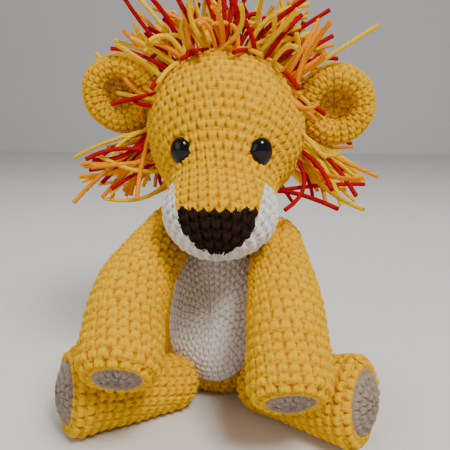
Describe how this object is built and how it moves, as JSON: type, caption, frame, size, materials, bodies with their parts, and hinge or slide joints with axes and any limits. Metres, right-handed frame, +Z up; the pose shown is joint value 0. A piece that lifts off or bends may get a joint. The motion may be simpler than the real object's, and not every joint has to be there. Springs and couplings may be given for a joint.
{
  "type": "crocheted stuffed lion",
  "caption": "Sitting crocheted stuffed lion toy with a cut-yarn mane, a white muzzle and belly, soft arms and legs with flat pads, and movable head, ears, limbs and tail.",
  "frame": {"origin": "middle of the flat seat, where it rests on the floor", "axes": "+Z up, the lion faces -Y, +X is to the right of someone facing it"},
  "size_m": [0.1704, 0.2118, 0.2342],
  "materials": {
    "yarn_yellow": "crocheted acrylic yarn, matt",
    "yarn_white": "crocheted acrylic yarn, matt",
    "yarn_brown": "crocheted acrylic yarn, matt",
    "yarn_taupe": "crocheted acrylic yarn, matt",
    "yarn_orange": "cut acrylic yarn, matt",
    "yarn_red": "cut acrylic yarn, matt",
    "stuffing": "loose polyester fibre",
    "eye_plastic": "glossy black",
    "washer_plastic": "matt moulded plastic"
  },
  "bodies": {
    "torso": {"body_shell": "yarn_yellow", "body_stuffing": "stuffing", "belly_patch": "yarn_white", "shoulder_seam_left": "yarn_yellow", "shoulder_seam_right": "yarn_yellow", "hip_seam_left": "yarn_yellow", "hip_seam_right": "yarn_yellow", "tail_seam": "yarn_yellow"},
    "neck": {"neck_plug": "yarn_yellow", "neck_seam": "yarn_yellow"},
    "head": {"head_shell": "yarn_yellow", "snout_bridge": "yarn_yellow", "head_stuffing": "stuffing", "muzzle": "yarn_white", "nose": "yarn_brown", "snout_stuffing": "stuffing", "eye_left": "eye_plastic", "eye_right": "eye_plastic", "eye_washer_left": "washer_plastic", "eye_washer_right": "washer_plastic", "mane_tufts_yellow": "yarn_yellow", "mane_tufts_orange": "yarn_orange", "mane_tufts_red": "yarn_red"},
    "ear_left": {"ear_left": "yarn_yellow"},
    "ear_right": {"ear_right": "yarn_yellow"},
    "shoulder_left": {"shoulder_knot_left": "yarn_yellow"},
    "arm_left": {"arm_shell_left": "yarn_yellow", "arm_stuffing_left": "stuffing", "paw_pad_left": "yarn_taupe"},
    "hip_left": {"hip_knot_left": "yarn_yellow"},
    "leg_left": {"leg_shell_left": "yarn_yellow", "leg_stuffing_left": "stuffing", "foot_pad_left": "yarn_taupe"},
    "shoulder_right": {"shoulder_knot_right": "yarn_yellow"},
    "arm_right": {"arm_shell_right": "yarn_yellow", "arm_stuffing_right": "stuffing", "paw_pad_right": "yarn_taupe"},
    "hip_right": {"hip_knot_right": "yarn_yellow"},
    "leg_right": {"leg_shell_right": "yarn_yellow", "leg_stuffing_right": "stuffing", "foot_pad_right": "yarn_taupe"},
    "tail_root": {"tail_knot": "yarn_yellow"},
    "tail": {"tail_cord": "yarn_yellow", "tail_tuft": "yarn_red"}
  },
  "joints": [
    {"name": "head_turn", "type": "hinge", "parent": "torso", "child": "neck", "pos_m": [0, 0, 0.1055], "axis": [0, 0, 1], "range_deg": [-6, 8], "stiffness_Nm_per_rad": 0.15},
    {"name": "head_nod", "type": "hinge", "parent": "neck", "child": "head", "pos_m": [0, 0, 0.1055], "axis": [-1, 0, 0], "range_deg": [-2, 20], "stiffness_Nm_per_rad": 0.6},
    {"name": "ear_flop_left", "type": "hinge", "parent": "head", "child": "ear_left", "pos_m": [-0.04186, 0.00361, 0.16739], "axis": [-0.3069, 0.0393, -0.9509], "range_deg": [-10, 12], "stiffness_Nm_per_rad": 0.02},
    {"name": "ear_flop_right", "type": "hinge", "parent": "head", "child": "ear_right", "pos_m": [0.04703, 0.00376, 0.16309], "axis": [-0.2151, -0.0275, 0.9762], "range_deg": [-10, 12], "stiffness_Nm_per_rad": 0.02},
    {"name": "arm_lift_left", "type": "hinge", "parent": "torso", "child": "shoulder_left", "pos_m": [-0.03023, -0.011, 0.095], "axis": [-0.8072, 0.389, -0.444], "range_deg": [0, 24]},
    {"name": "arm_spread_left", "type": "hinge", "parent": "shoulder_left", "child": "arm_left", "pos_m": [-0.03023, -0.011, 0.095], "axis": [-0.5648, 0.4895, -0.6644], "range_deg": [0, 26]},
    {"name": "arm_lift_right", "type": "hinge", "parent": "torso", "child": "shoulder_right", "pos_m": [0.03184, -0.01159, 0.0895], "axis": [-0.8174, -0.3603, 0.4495], "range_deg": [0, 24]},
    {"name": "arm_spread_right", "type": "hinge", "parent": "shoulder_right", "child": "arm_right", "pos_m": [0.03184, -0.01159, 0.0895], "axis": [-0.5662, -0.4854, 0.6662], "range_deg": [0, 26]},
    {"name": "leg_spread_left", "type": "hinge", "parent": "torso", "child": "hip_left", "pos_m": [-0.02658, -0.04172, 0.0148], "axis": [-0.1125, -0.0662, -0.9914], "range_deg": [0, 18]},
    {"name": "leg_lift_left", "type": "hinge", "parent": "hip_left", "child": "leg_left", "pos_m": [-0.02658, -0.04172, 0.0148], "axis": [-0.4931, 0.7048, -0.5101], "range_deg": [0, 22]},
    {"name": "leg_spread_right", "type": "hinge", "parent": "torso", "child": "hip_right", "pos_m": [0.02658, -0.04172, 0.0148], "axis": [-0.1125, 0.0662, 0.9914], "range_deg": [0, 18]},
    {"name": "leg_lift_right", "type": "hinge", "parent": "hip_right", "child": "leg_right", "pos_m": [0.02658, -0.04172, 0.0148], "axis": [-0.4931, -0.7048, 0.5101], "range_deg": [0, 22]},
    {"name": "tail_swing", "type": "hinge", "parent": "torso", "child": "tail_root", "pos_m": [0, 0.03872, 0.012], "axis": [0, 0, 1], "range_deg": [-30, 30]},
    {"name": "tail_lift", "type": "hinge", "parent": "tail_root", "child": "tail", "pos_m": [0, 0.03872, 0.012], "axis": [1, 0, 0], "range_deg": [0, 30]}
  ]
}
